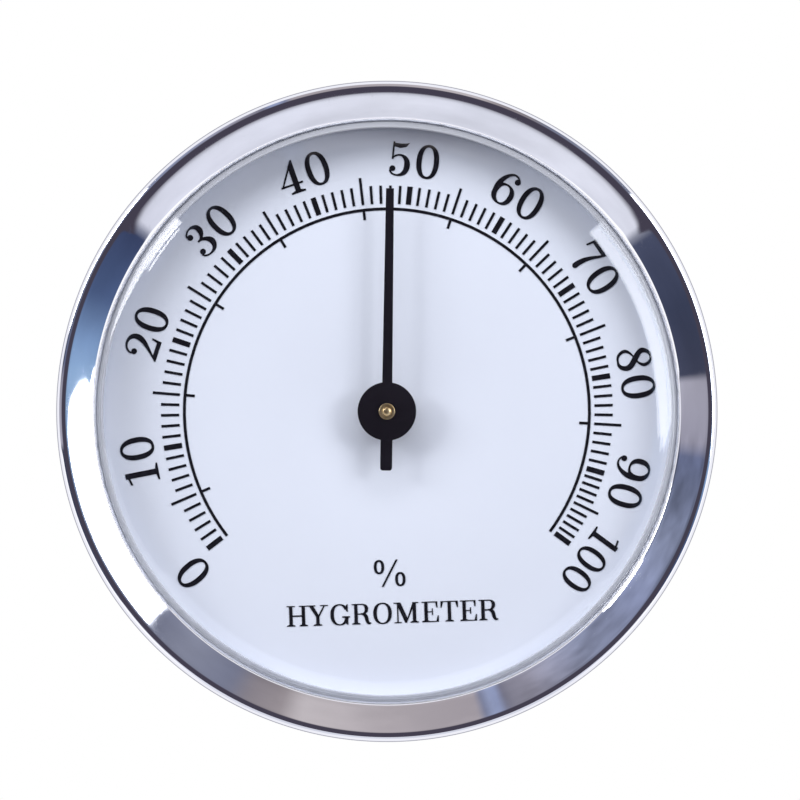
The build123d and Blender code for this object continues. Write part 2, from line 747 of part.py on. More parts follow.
def coil_layer(inner, outer):
    """One layer of the wound strip, between two distances from the strip's inner face.

    Upper half turns are centred on the shaft and lower ones half a pitch to the right, and
    each is half a pitch larger than the one before, so that they join smoothly.
    """
    reach = COIL_INNER_RADIUS + COIL_HALF_TURNS * COIL_PITCH
    layer = Sketch()
    for turn in range(COIL_HALF_TURNS):
        radius = COIL_INNER_RADIUS + turn * COIL_PITCH / 2
        lower = turn % 2
        half = bar(-reach, reach, -reach if lower else 0, 0 if lower else reach)
        hoop = (Circle(radius + outer) - Circle(radius + inner)) & half
        layer += Pos(lower * COIL_PITCH / 2, 0) * hoop
    layer += bar(COIL_END + inner, COIL_END + outer, 0, TONGUE_LENGTH)
    return raised(layer, COIL_BACK, COIL_FRONT)


COIL_END = COIL_PITCH / 2 + COIL_INNER_RADIUS + (COIL_HALF_TURNS - 1) * COIL_PITCH / 2
COIL_THICKNESS = STRIP_THICKNESS + FILM_THICKNESS
STUD_PLACE = Pos(COIL_END + COIL_THICKNESS / 2, STUD_RISE)


def sensing_strip():
    return coil_layer(0, STRIP_THICKNESS)


def humidity_film():
    return coil_layer(STRIP_THICKNESS, COIL_THICKNESS)


def coil_stud():
    """The stud, slotted from its front end for the strip and its pin."""
    left = COIL_END
    slot = bar(left, left + STUD_SLOT, STUD_RISE - 2 * STUD_RADIUS, STUD_RISE + 2 * STUD_RADIUS)
    stud = raised(STUD_PLACE * Circle(STUD_RADIUS), ARM_BACK, STUD_FRONT)
    return stud - raised(slot, COIL_BACK, STUD_FRONT - 1)


def coil_stud_pin():
    left = COIL_END + COIL_THICKNESS
    pin = bar(left, COIL_END + STUD_SLOT, STUD_RISE - STUD_RADIUS / 2, STUD_RISE + STUD_RADIUS / 2)
    return raised(pin, COIL_BACK, COIL_FRONT)


# --- calibration ---


def calibration_hub():
    pivot = PIVOT_RADIUS + RUNNING_GAP
    hub = turned(
        (pivot, HUB_FRONT),
        (HUB_FLANGE_RADIUS, HUB_FRONT),
        (HUB_FLANGE_RADIUS, HUB_NECK_FRONT),
        (HUB_NECK_RADIUS, HUB_NECK_FRONT),
        (HUB_NECK_RADIUS, WASHER_BACK),
        (HUB_GROOVE_RADIUS, WASHER_BACK),
        (HUB_GROOVE_RADIUS, CLIP_BACK),
        (HUB_NECK_RADIUS, CLIP_BACK),
        (HUB_NECK_RADIUS, HUB_END),
        (0, HUB_END),
        (0, PIVOT_BORE_END),
        (pivot, PIVOT_BORE_END),
    )
    slot = Rectangle(3 * HUB_NECK_RADIUS, HUB_SLOT_WIDTH)
    return hub - raised(slot, HUB_END + 1, HUB_END - HUB_SLOT_DEPTH)


def calibration_arm():
    """A tapered plate from the hub to the stud."""
    centre = Circle(HUB_FLANGE_RADIUS)
    tip = STUD_PLACE * Circle(ARM_HALF_WIDTH)
    plate = make_hull((centre + tip).edges())
    plate -= Circle(HUB_NECK_RADIUS)
    plate -= STUD_PLACE * Circle(STUD_RADIUS)
    return raised(plate, ARM_BACK, HUB_NECK_FRONT)


def friction_washer():
    """A dished spring washer between the bracket and the clip."""
    return turned(
        (WASHER_INNER, WASHER_BACK - WASHER_SHEET),
        (WASHER_OUTER, WASHER_FRONT),
        (WASHER_OUTER, WASHER_FRONT + WASHER_SHEET),
        (WASHER_INNER, WASHER_BACK),
    )


def retaining_clip():
    clip = tube(HUB_GROOVE_RADIUS, CLIP_RADIUS, WASHER_BACK, CLIP_BACK)
    opening = bar(-CLIP_OPENING / 2, CLIP_OPENING / 2, 0, CLIP_RADIUS + 1)
    return clip - raised(opening, CLIP_BACK + 1, WASHER_BACK - 1)


PARTS = {
    "bezel": bezel,
    "lens": lens,
    "lens_gasket": lens_gasket,
    "rear_case": rear_case,
    "grip_ring": grip_ring,
    "dial_plate": dial_plate,
    "scale_print": scale_print,
    "numeral_print": numeral_print,
    "legend_print": legend_print,
    "spacer_ring": spacer_ring,
    "pointer": pointer,
    "pointer_bush": pointer_bush,
    "arbor": arbor,
    "arbor_collar": arbor_collar,
    "coil_collet": coil_collet,
    "front_bearing": front_bearing,
    "movement_bracket": movement_bracket,
    "dial_feet": dial_feet,
    "feet_nuts": feet_nuts,
    "sensing_strip": sensing_strip,
    "humidity_film": humidity_film,
    "coil_stud": coil_stud,
    "coil_stud_pin": coil_stud_pin,
    "calibration_hub": calibration_hub,
    "calibration_arm": calibration_arm,
    "friction_washer": friction_washer,
    "retaining_clip": retaining_clip,
}

os.makedirs("parts", exist_ok=True)
for name, make in PARTS.items():
    made = make()
    solids = made if isinstance(made, list) else [made]
    pieces = [solid for piece in solids for solid in piece.solids()]
    export_step(Compound(children=pieces), f"parts/{name}.step")
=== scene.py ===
from math import asin, cos, degrees, pi, radians, sin

import bmesh
import bpy
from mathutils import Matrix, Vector


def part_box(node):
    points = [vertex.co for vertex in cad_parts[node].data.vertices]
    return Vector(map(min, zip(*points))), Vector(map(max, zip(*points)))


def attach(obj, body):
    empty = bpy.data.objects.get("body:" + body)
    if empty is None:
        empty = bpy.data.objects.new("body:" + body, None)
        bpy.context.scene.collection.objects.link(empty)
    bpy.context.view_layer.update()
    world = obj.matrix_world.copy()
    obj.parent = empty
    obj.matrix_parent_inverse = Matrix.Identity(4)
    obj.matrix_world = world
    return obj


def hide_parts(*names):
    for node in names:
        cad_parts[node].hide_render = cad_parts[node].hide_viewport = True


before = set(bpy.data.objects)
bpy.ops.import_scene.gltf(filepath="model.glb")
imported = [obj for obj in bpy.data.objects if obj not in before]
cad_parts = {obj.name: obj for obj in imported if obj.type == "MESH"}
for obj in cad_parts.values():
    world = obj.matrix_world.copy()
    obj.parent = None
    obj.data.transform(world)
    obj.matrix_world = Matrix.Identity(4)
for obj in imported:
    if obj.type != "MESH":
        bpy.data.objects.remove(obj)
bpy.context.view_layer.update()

# Lengths are in millimetres until they reach a mesh, and MM turns them into metres.
# Radii are measured from the Y axis; the dial faces -Y and 12 o'clock is +Z.
MM = 0.001


def colour(red, green, blue):
    """A colour given as a screen shows it, 0 to 255, as linear light."""
    linear = []
    for value in (red, green, blue):
        value /= 255
        linear.append(value / 12.92 if value <= 0.04045 else ((value + 0.055) / 1.055) ** 2.4)
    return (*linear, 1.0)


# --- node graphs ---


class Graph:
    """Short names for adding nodes to one node tree."""

    def __init__(self, tree):
        self.tree = tree
        self.tree.nodes.clear()

    def add(self, kind, inputs=(), **settings):
        node = self.tree.nodes.new(kind)
        for name, value in settings.items():
            setattr(node, name, value)
        for key, value in dict(inputs).items():
            self.put(node.inputs[key], value)
        return node

    def put(self, socket, value):
        if isinstance(value, bpy.types.NodeSocket):
            self.tree.links.new(value, socket)
        else:
            socket.default_value = value

    def math(self, operation, *values):
        node = self.add("ShaderNodeMath", operation=operation)
        for index, value in enumerate(values):
            self.put(node.inputs[index], value)
        return node.outputs[0]

    def step(self, value, low, high, to_low=0.0, to_high=1.0):
        """Rises smoothly from to_low at low to to_high at high."""
        node = self.add("ShaderNodeMapRange", interpolation_type="SMOOTHSTEP")
        for name, amount in zip(("Value", "From Min", "From Max", "To Min", "To Max"),
                                (value, low, high, to_low, to_high)):
            self.put(node.inputs[name], amount)
        return node.outputs[0]

    def span(self, value, low, high, soft):
        """One between low and high, nought outside, over a soft edge."""
        rise = self.step(value, low - soft / 2, low + soft / 2)
        fall = self.step(value, high - soft / 2, high + soft / 2, 1.0, 0.0)
        return self.math("MULTIPLY", rise, fall)

    def ramp(self, factor, stops, interpolation="LINEAR"):
        node = self.add("ShaderNodeValToRGB", {"Fac": factor})
        node.color_ramp.interpolation = interpolation
        elements = node.color_ramp.elements
        while len(elements) > 1:
            elements.remove(elements[-1])
        elements[0].position = stops[0][0]
        elements[0].color = stops[0][1]
        for place, shade in stops[1:]:
            elements.new(place).color = shade
        return node.outputs["Color"]

    def mix(self, factor, one, other):
        node = self.add("ShaderNodeMix", data_type="RGBA")
        self.put(node.inputs[0], factor)
        self.put(node.inputs[6], one)
        self.put(node.inputs[7], other)
        return node.outputs[2]

    def blend(self, factor, one, other):
        """A mix of two shaders."""
        inputs = {0: factor, 1: one, 2: other}
        return self.add("ShaderNodeMixShader", inputs).outputs[0]

    def noise(self, scale, place, detail=3.0, roughness=0.55):
        inputs = {"Vector": place, "Scale": scale, "Detail": detail, "Roughness": roughness}
        return self.add("ShaderNodeTexNoise", inputs).outputs[0]

    def place(self):
        """The point in the object's own metres."""
        return self.add("ShaderNodeTexCoord").outputs["Object"]

    def radius(self):
        """Distance from the dial's axis, in metres."""
        parts = self.add("ShaderNodeSeparateXYZ", {0: self.place()}).outputs
        squares = [self.math("MULTIPLY", parts[axis], parts[axis]) for axis in (0, 2)]
        return self.math("SQRT", self.math("ADD", *squares))

    def stretched(self, x, y, z):
        """The point with its axes scaled, for grain that runs one way."""
        mapping = self.add("ShaderNodeMapping", {"Vector": self.place(), "Scale": (x, y, z)})
        return mapping.outputs[0]

    def bump(self, height, millimetres, below=None):
        inputs = {"Height": height, "Distance": millimetres * MM, "Strength": 1.0}
        if below is not None:
            inputs["Normal"] = below
        return self.add("ShaderNodeBump", inputs).outputs[0]


def new_material(name, build):
    """A material whose build function is given its graph and its Principled shader."""
    material = bpy.data.materials.new(name)
    material.use_nodes = True
    graph = Graph(material.node_tree)
    shader = graph.add("ShaderNodeBsdfPrincipled")
    output = graph.add("ShaderNodeOutputMaterial")
    surface = build(graph, shader) or shader.outputs[0]
    graph.put(output.inputs[0], surface)
    return material


def fill(graph, shader, **values):
    for name, value in values.items():
        graph.put(shader.inputs[name.replace("_", " ").title().replace("Ior", "IOR")], value)


def metal(light, dark, patches, rough, grain, depth, stretch=None, turned=False):
    """Metal with a mottled tone and fine tool marks."""

    def build(graph, shader):
        place = graph.place()
        mottle = graph.noise(patches, place, 4.0)
        tone = graph.mix(graph.step(mottle, 0.35, 0.7), colour(*light), colour(*dark))
        if turned:
            rings = graph.add("ShaderNodeCombineXYZ", {0: graph.radius()}).outputs[0]
            marks = graph.noise(grain, rings, 2.0)
        else:
            marks = graph.noise(grain, graph.stretched(*stretch) if stretch else place, 3.0)
        worn = graph.step(graph.math("ADD", marks, mottle), 0.7, 1.4, rough[0], rough[1])
        fill(graph, shader, base_color=tone, metallic=1.0, roughness=worn,
             normal=graph.bump(marks, depth))

    return build


def moulded(light, dark, rough, grain, depth, specular=0.5):
    """Moulded plastic or rubber: a fine even texture, slightly uneven in tone and gloss."""

    def build(graph, shader):
        place = graph.place()
        broad = graph.noise(45.0, place, 3.0)
        texture = graph.noise(grain, place, 2.0, 0.7)
        tone = graph.mix(graph.step(graph.math("ADD", broad, texture), 0.6, 1.4),
                         colour(*dark), colour(*light))
        gloss = graph.step(broad, 0.3, 0.7, rough[0], rough[1])
        shader.inputs["Specular IOR Level"].default_value = specular
        fill(graph, shader, base_color=tone, roughness=gloss, normal=graph.bump(texture, depth))

    return build


def chrome(graph, shader):
    """Polished plate: faint orange peel, with hair scratches from wiping."""
    place = graph.place()
    peel = graph.noise(90.0, place, 1.0)
    wipes = graph.noise(2600.0, graph.stretched(1.0, 0.04, 0.3), 2.0)
    haze = graph.step(graph.noise(260.0, place, 4.0), 0.35, 0.8, 0.025, 0.07)
    scratched = graph.math("ADD", haze, graph.step(wipes, 0.62, 0.75, 0.0, 0.03))
    tone = graph.mix(graph.noise(60.0, place), colour(248, 248, 250), colour(241, 242, 248))
    relief = graph.bump(wipes, 0.00004, graph.bump(peel, 0.003))
    fill(graph, shader, base_color=tone, metallic=1.0, roughness=scratched, normal=relief)


def enamel(graph, shader):
    """The dial's baked white paint: very slightly uneven, with a fine peel."""
    place = graph.place()
    cloud = graph.noise(70.0, place, 3.0)
    peel = graph.noise(900.0, place, 2.0)
    fleck = graph.noise(5200.0, place, 2.0)
    tone = graph.mix(cloud, colour(225, 230, 243), colour(227, 232, 244))
    tone = graph.mix(graph.step(fleck, 0.6, 0.8, 0.0, 0.06), tone, colour(196, 204, 226))
    gloss = graph.step(cloud, 0.3, 0.7, 0.42, 0.5)
    shader.inputs["Specular IOR Level"].default_value = 0.35
    fill(graph, shader, base_color=tone, roughness=gloss,
         normal=graph.bump(fleck, 0.0006, graph.bump(peel, 0.002)))


def ink(graph, shader):
    """Screen-printed black: a little thinner in places, with a grainy surface."""
    place = graph.place()
    cover = graph.noise(1400.0, place, 3.0)
    tone = graph.mix(graph.step(cover, 0.45, 0.8), colour(9, 9, 14), colour(24, 25, 33))
    gloss = graph.step(cover, 0.3, 0.7, 0.5, 0.64)
    shader.inputs["Specular IOR Level"].default_value = 0.12
    fill(graph, shader, base_color=tone, roughness=gloss, normal=graph.bump(cover, 0.002))


def pointer_paint(graph, shader):
    """Satin black lacquer on stamped sheet."""
    place = graph.place()
    peel = graph.noise(2400.0, place, 3.0)
    tone = graph.mix(graph.noise(300.0, place), colour(10, 8, 12), colour(20, 17, 23))
    gloss = graph.step(peel, 0.3, 0.7, 0.38, 0.5)
    shader.inputs["Specular IOR Level"].default_value = 0.14
    fill(graph, shader, base_color=tone, roughness=gloss, normal=graph.bump(peel, 0.003))


# The lens is as moulded outside this band of radii, and scatters this share of the light there.
MOULDED_FROM = (30.8, 31.1)
MOULDED_HAZE = 0.34


def clear_plastic(graph, shader):
    """Clear acrylic, which bends only what is seen through it.

    Shadow rays, rays from matt surfaces and rays from mirrors go straight through. A ray that
    has been refracted counts as glossy too, so it is taken out of the mirrored ones.
    """
    place = graph.place()
    wipes = graph.noise(3000.0, graph.stretched(0.05, 1.0, 1.0), 2.0)
    ripple = graph.noise(60.0, place, 1.0)
    shader.inputs["Transmission Weight"].default_value = 1.0
    shader.inputs["IOR"].default_value = 1.49
    fill(graph, shader, base_color=graph.mix(ripple, colour(252, 253, 255), colour(250, 251, 254)),
         roughness=graph.step(wipes, 0.66, 0.82, 0.0, 0.012), normal=graph.bump(ripple, 0.004))
    path = graph.add("ShaderNodeLightPath").outputs
    passes = graph.math("MAXIMUM", path["Is Shadow Ray"], path["Is Diffuse Ray"])
    mirrored = graph.math("SUBTRACT", path["Is Glossy Ray"], path["Is Transmission Ray"])
    passes = graph.math("MAXIMUM", passes, mirrored)
    nothing = graph.add("ShaderNodeBsdfTransparent").outputs[0]
    blended = graph.blend(passes, shader.outputs[0], nothing)
    haze = graph.add("ShaderNodeBsdfDiffuse", {"Color": colour(226, 229, 240)}).outputs[0]
    low, high = (limit * MM for limit in MOULDED_FROM)
    amount = graph.step(graph.radius(), low, high, 0.0, MOULDED_HAZE)
    return graph.blend(amount, blended, haze)


def humidity_paper(graph, shader):
    """The cellulose film on the coil: dull, with long fibres."""
    fibres = graph.noise(1500.0, graph.stretched(1.0, 6.0, 1.0), 4.0)
    tone = graph.mix(fibres, colour(214, 200, 168), colour(190, 172, 136))
    fill(graph, shader, base_color=tone, roughness=graph.step(fibres, 0.3, 0.7, 0.62, 0.8),
         normal=graph.bump(fibres, 0.01))


BRASS = metal((228, 204, 156), (200, 170, 118), 900.0, (0.32, 0.44), 16000.0, 0.0008, turned=True)
STEEL = metal((196, 196, 200), (160, 160, 166), 700.0, (0.18, 0.34), 15000.0, 0.0008, turned=True)
MATERIALS = {
    "bezel_plate": chrome,
    "lens_clear": clear_plastic,
    "gasket_rubber": moulded((206, 208, 214), (190, 192, 199), (0.5, 0.7), 7000.0, 0.006, 0.3),
    "case_plastic": moulded((40, 40, 43), (24, 24, 27), (0.42, 0.58), 5200.0, 0.012, 0.45),
    "grip_rubber": moulded((48, 48, 51), (30, 30, 33), (0.6, 0.82), 6500.0, 0.008, 0.3),
    "dial_paint": enamel,
    "ink": ink,
    "spacer_plastic": moulded((186, 190, 200), (172, 176, 187), (0.4, 0.55), 5200.0, 0.004),
    "pointer_paint": pointer_paint,
    "movement_brass": BRASS,
    "shaft_steel": STEEL,
    "bracket_steel": metal((186, 188, 192), (150, 152, 158), 300.0, (0.24, 0.42), 900.0, 0.002,
                           stretch=(0.1, 3.0, 3.0)),
    "strip_metal": metal((206, 150, 108), (170, 112, 74), 500.0, (0.22, 0.4), 900.0, 0.001,
                         stretch=(1.0, 8.0, 1.0)),
    "film": humidity_paper,
    "spring_steel": metal((120, 122, 130), (86, 88, 98), 600.0, (0.22, 0.4), 6000.0, 0.001),
}
materials = {slot: new_material(slot + "_look", build) for slot, build in MATERIALS.items()}

NODE_SLOTS = {
    "scale_print": "ink",
    "numeral_print": "ink",
    "legend_print": "ink",
    "arbor_collar": "movement_brass",
    "coil_collet": "movement_brass",
    "movement_bracket": "bracket_steel",
    "dial_feet": "shaft_steel",
    "feet_nuts": "movement_brass",
    "sensing_strip": "strip_metal",
    "humidity_film": "film",
    "coil_stud": "movement_brass",
    "coil_stud_pin": "shaft_steel",
    "calibration_hub": "movement_brass",
    "calibration_arm": "movement_brass",
    "friction_washer": "spring_steel",
    "retaining_clip": "spring_steel",
}
for node, slot in NODE_SLOTS.items():
    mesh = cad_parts[node].data
    mesh.materials.clear()
    mesh.materials.append(materials[slot])


# --- turned pieces ---

SHARP_ANGLE = radians(32)


def on_arc(centre, radius, tilt):
    """The point of an arc whose outward normal leans this far from -Y towards the rim."""
    return (centre[0] + radius * sin(radians(tilt)), centre[1] - radius * cos(radians(tilt)))


def arc(centre, radius, start, end, steps):
    """Points of an arc of a turned profile between two tilts."""
    turn = (end - start) / steps
    return [on_arc(centre, radius, start + turn * step) for step in range(steps + 1)]


def eased(corners, radius, steps=4):
    """A closed outline with its corners rounded; a corner on the axis stays."""
    points = []
    count = len(corners)
    for index, corner in enumerate(corners):
        if corner[0] == 0:
            points.append(corner)
            continue
        here = Vector(corner)
        sides = [Vector(corners[index - 1]) - here, Vector(corners[(index + 1) % count]) - here]
        start, end = (here + side.normalized() * min(radius, 0.45 * side.length) for side in sides)
        for step in range(steps + 1):
            share = step / steps
            first, last = start.lerp(here, share), here.lerp(end, share)
            points.append(tuple(first.lerp(last, share)))
    return points


def evaluated_mesh(source):
    """A mesh of an object as its modifiers or its curve settings make it."""
    bpy.context.view_layer.update()
    graph = bpy.context.evaluated_depsgraph_get()
    return bpy.data.meshes.new_from_object(source.evaluated_get(graph))


def mesh_object(name, builder):
    """An object from a bmesh in metres, shaded smooth with its sharp corners kept."""
    bmesh.ops.recalc_face_normals(builder, faces=builder.faces)
    mesh = bpy.data.meshes.new(name)
    builder.to_mesh(mesh)
    builder.free()
    mesh.shade_smooth()
    mesh.set_sharp_from_angle(angle=SHARP_ANGLE)
    made = bpy.data.objects.new(name, mesh)
    bpy.context.scene.collection.objects.link(made)
    return made


def lathe(name, outline, segments):
    """Turns a closed outline of (radius, depth) points about Y."""
    builder = bmesh.new()
    rings = []
    for radius, depth in outline:
        if radius < 1e-6:
            rings.append([builder.verts.new((0, depth * MM, 0))] * segments)
            continue
        angles = (2 * pi * step / segments for step in range(segments))
        rings.append([
            builder.verts.new((radius * sin(angle) * MM, depth * MM, radius * cos(angle) * MM))
            for angle in angles
        ])
    for ring, following in zip(rings, rings[1:] + rings[:1]):
        if ring[0] is ring[1] and following[0] is following[1]:
            continue
        for step in range(segments):
            after = (step + 1) % segments
            corners = [ring[step], ring[after], following[after], following[step]]
            builder.faces.new(dict.fromkeys(corners))
    return mesh_object(name, builder)


def dress(piece, slot, body, *nodes):
    """Gives a piece its material and its place among the CAD's bodies and nodes."""
    piece.data.materials.clear()
    piece.data.materials.append(materials[slot])
    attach(piece, body)
    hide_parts(*nodes)


def reach(node):
    """A node's depths and greatest radius, in millimetres."""
    low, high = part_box(node)
    return low.y / MM, high.y / MM, high.x / MM


# The bezel: rolled rim, polished band sloping in, and a lip turned down beside the lens.
bezel_front, bezel_back, bezel_radius = reach("bezel")
SHEET = 0.7
RIM_RADIUS = 0.8
BAND_TILTS = (-20.0, -25.0)
BAND_INNER_RADIUS = 32.2
# The CAD's lip has a radius of 0.9; this one brings its inner face 0.035 closer to the lens.
LIP_RADIUS = 0.96
LIP_END = -3.15
BACK_RING_FRONT = -0.7
BACK_RING_INNER = 32.9
RIM_CENTRE = (bezel_radius - RIM_RADIUS, bezel_front + RIM_RADIUS)
BAND_START = on_arc(RIM_CENTRE, RIM_RADIUS, BAND_TILTS[0])
BAND_RADIUS = (BAND_START[0] - BAND_INNER_RADIUS) / (
    sin(radians(BAND_TILTS[0])) - sin(radians(BAND_TILTS[1]))
)
BAND_CENTRE = on_arc(BAND_START, -BAND_RADIUS, BAND_TILTS[0])
LIP_CENTRE = on_arc(on_arc(BAND_CENTRE, BAND_RADIUS, BAND_TILTS[1]), -LIP_RADIUS, BAND_TILTS[1])
LIP_INNER = LIP_CENTRE[0] - LIP_RADIUS


def bezel_face(offset):
    rim = arc(RIM_CENTRE, RIM_RADIUS - offset, 90, BAND_TILTS[0], 22)
    band = arc(BAND_CENTRE, BAND_RADIUS - offset, *BAND_TILTS, 10)
    lip = arc(LIP_CENTRE, LIP_RADIUS - offset, BAND_TILTS[1], -90, 14)
    return rim + band[1:-1] + lip


bezel_outline = bezel_face(0)
bezel_outline += [(LIP_INNER, LIP_END), (LIP_INNER + SHEET, LIP_END)]
bezel_outline += bezel_face(SHEET)[::-1]
bezel_outline += [
    (bezel_radius - SHEET, BACK_RING_FRONT),
    (BACK_RING_INNER + 0.08, BACK_RING_FRONT),
    (BACK_RING_INNER, BACK_RING_FRONT + 0.08),
    (BACK_RING_INNER, bezel_back - 0.08),
    (BACK_RING_INNER + 0.08, bezel_back),
    (bezel_radius - 0.4, bezel_back),
    (bezel_radius - 0.12, bezel_back - 0.12),
    (bezel_radius, bezel_back - 0.4),
]
dress(lathe("bezel_ring", bezel_outline, 480), "bezel_plate", "case", "bezel")

# The lens: a shallow dome of even thickness curving down to an upright wall on a flange. The
# wall stands 0.03 mm further out than the CAD's, which narrows the dark gap beside the bezel.
# The arcs of its shoulder, inside to outside, as (radius, tilt at the outer end, steps).
LENS_ARCS = [(5.0, 20.0, 12), (7.7, 37.0, 16), (0.5, 90.0, 10)]
LENS_WALL = (31.63, -3.298)
LENS_THICKNESS = 0.7
LENS_INNER_WALL = 30.9
LENS_FLANGE_FRONT = -2.8
DOME_TILT = 6.0
_, lens_back, lens_flange = reach("lens")
lens_outside, lens_inside = [], []
end = LENS_WALL
starts = [DOME_TILT] + [tilt for _, tilt, _ in LENS_ARCS[:-1]]
for start, (radius, tilt, steps) in reversed(list(zip(starts, LENS_ARCS))):
    centre = on_arc(end, -radius, tilt)
    lens_outside = arc(centre, radius, start, tilt, steps)[:-1] + lens_outside
    if radius > LENS_THICKNESS:
        lens_inside += arc(centre, radius - LENS_THICKNESS, tilt, start, steps)[:-1]
    end = on_arc(centre, radius, start)
dome_radius = end[0] / sin(radians(DOME_TILT))
dome_centre = on_arc(end, -dome_radius, DOME_TILT)
lens_inside += arc(dome_centre, dome_radius - LENS_THICKNESS, DOME_TILT, 0, 20)
lens_outline = arc(dome_centre, dome_radius, 0, DOME_TILT, 20)[:-1] + lens_outside
lens_outline += [
    LENS_WALL,
    (LENS_WALL[0], LENS_FLANGE_FRONT),
    (lens_flange - 0.06, LENS_FLANGE_FRONT),
    (lens_flange, -2.74),
    (lens_flange, lens_back - 0.06),
    (lens_flange - 0.06, lens_back),
    (LENS_INNER_WALL + 0.06, lens_back),
    (LENS_INNER_WALL, lens_back - 0.06),
]
lens_outline += lens_inside
dress(lathe("lens_dome", lens_outline, 360), "lens_clear", "case", "lens")


def simple_ring(node, inner, easing, piece, slot, body, segments=240):
    """A plain ring in a node's place, with eased corners."""
    front, back, outer = reach(node)
    corners = [(inner, front), (outer, front), (outer, back), (inner, back)]
    dress(lathe(piece, eased(corners, easing), segments), slot, body, node)


simple_ring("lens_gasket", 31.75, 0.08, "lens_seal", "gasket_rubber", "case")
simple_ring("spacer_ring", 30.85, 0.1, "spacer_hoop", "spacer_plastic", "case")
simple_ring("dial_plate", 1.6, 0.07, "dial_disc", "dial_paint", "case", 300)

# The rubber that grips the panel's hole: a sleeve with rounded fins.
grip_front, grip_back, grip_radius = reach("grip_ring")
FIN_COUNT = 6
FIN_ROOT = 31.95
FIN_LEAD = 0.55
GRIP_INNER = 31.5
grip_outline = [(GRIP_INNER, grip_front), (grip_radius - 0.1, grip_front)]
grip_outline += [(grip_radius, grip_front + 0.1)]
fin_start = grip_front + FIN_LEAD
fin_pitch = (grip_back - 0.35 - fin_start) / FIN_COUNT
grip_outline += [(grip_radius, fin_start - 0.1), (grip_radius - 0.06, fin_start)]
for fin in range(FIN_COUNT):
    start = fin_start + fin * fin_pitch
    grip_outline += [
        (FIN_ROOT + 0.05, start + 0.1 * fin_pitch),
        (FIN_ROOT, start + 0.18 * fin_pitch),
        (FIN_ROOT, start + 0.3 * fin_pitch),
        (FIN_ROOT + 0.05, start + 0.38 * fin_pitch),
        (grip_radius - 0.08, start + 0.55 * fin_pitch),
        (grip_radius, start + 0.66 * fin_pitch),
        (grip_radius, start + 0.84 * fin_pitch),
        (grip_radius - 0.08, start + 0.95 * fin_pitch),
    ]
grip_outline += [(grip_radius - 0.35, grip_back - 0.06), (grip_radius - 0.45, grip_back)]
grip_outline += [(GRIP_INNER, grip_back)]
dress(lathe("grip_sleeve", grip_outline, 300), "grip_rubber", "case", "grip_ring")

# The case: a moulded cup with slots in its back.
case_front, case_back, case_flange = reach("rear_case")
CASE_INNER = 30.3
CASE_OUTER = 31.5
CASE_FLOOR = 13.8
CASE_NOSE = 32.2
CASE_SHOULDER = 31.95
DIAL_POCKET = (31.5, -0.5)
FLANGE_FRONT = -1.5
FLANGE_BACK = -0.7
ACCESS_HOLE = 4.2
CORNER_RADIUS = 1.2
CORNER_STEPS = 8
hole_edge = [(ACCESS_HOLE, CASE_FLOOR + 0.15), (ACCESS_HOLE, case_back - 0.25)]
hole_edge += [(4.28, case_back - 0.08)]
hole_edge += [(4.45, case_back)]
case_outline = eased(
    [
        (CASE_INNER, CASE_FLOOR),
        (CASE_INNER, DIAL_POCKET[1]),
        DIAL_POCKET,
        (DIAL_POCKET[0], case_front),
        (CASE_NOSE, case_front),
        (CASE_NOSE, FLANGE_FRONT),
        (case_flange, FLANGE_FRONT),
        (case_flange, FLANGE_BACK),
        (CASE_SHOULDER, FLANGE_BACK),
        (CASE_SHOULDER, 0.0),
        (CASE_OUTER, 0.0),
    ],
    0.1,
)
corner_centre = (CASE_OUTER - CORNER_RADIUS, case_back - CORNER_RADIUS)
case_outline += [(CASE_OUTER, 7.3), (CASE_OUTER, 11.6), (CASE_OUTER - 0.18, 11.75)]
case_outline += [(CASE_OUTER - 0.18, 12.05), (CASE_OUTER, 12.2)]
case_outline += [
    (corner_centre[0] + CORNER_RADIUS * cos(radians(90 * step / CORNER_STEPS)),
     corner_centre[1] + CORNER_RADIUS * sin(radians(90 * step / CORNER_STEPS)))
    for step in range(CORNER_STEPS + 1)
]
# A shallow turned recess round the slots, as moulded backs have.
case_outline += [(27.6, case_back), (27.45, case_back - 0.12), (27.3, case_back - 0.15)]
case_outline += [(11.7, case_back - 0.15), (11.55, case_back - 0.12), (11.4, case_back)]
case_outline += hole_edge[::-1] + [(4.35, CASE_FLOOR)]
case_cup = lathe("case_cup", case_outline, 240)

VENTS = 20
VENT_WIDTH = 1.8
VENT_REACH = (14.0, 25.0)
VENT_ARC_STEPS = 8


def vent_outline(angle, grow):
    """The rounded slot at one angle, as points round its edge."""
    half = VENT_WIDTH / 2 + grow
    ends = ((VENT_REACH[1] - VENT_WIDTH / 2, -90), (VENT_REACH[0] + VENT_WIDTH / 2, 90))
    points = []
    for centre, start in ends:
        for step in range(VENT_ARC_STEPS + 1):
            turn = radians(start + 180 * step / VENT_ARC_STEPS)
            points.append((centre + half * cos(turn), half * sin(turn)))
    return [(x * cos(angle) - y * sin(angle), x * sin(angle) + y * cos(angle)) for x, y in points]


vent_cutter = bmesh.new()
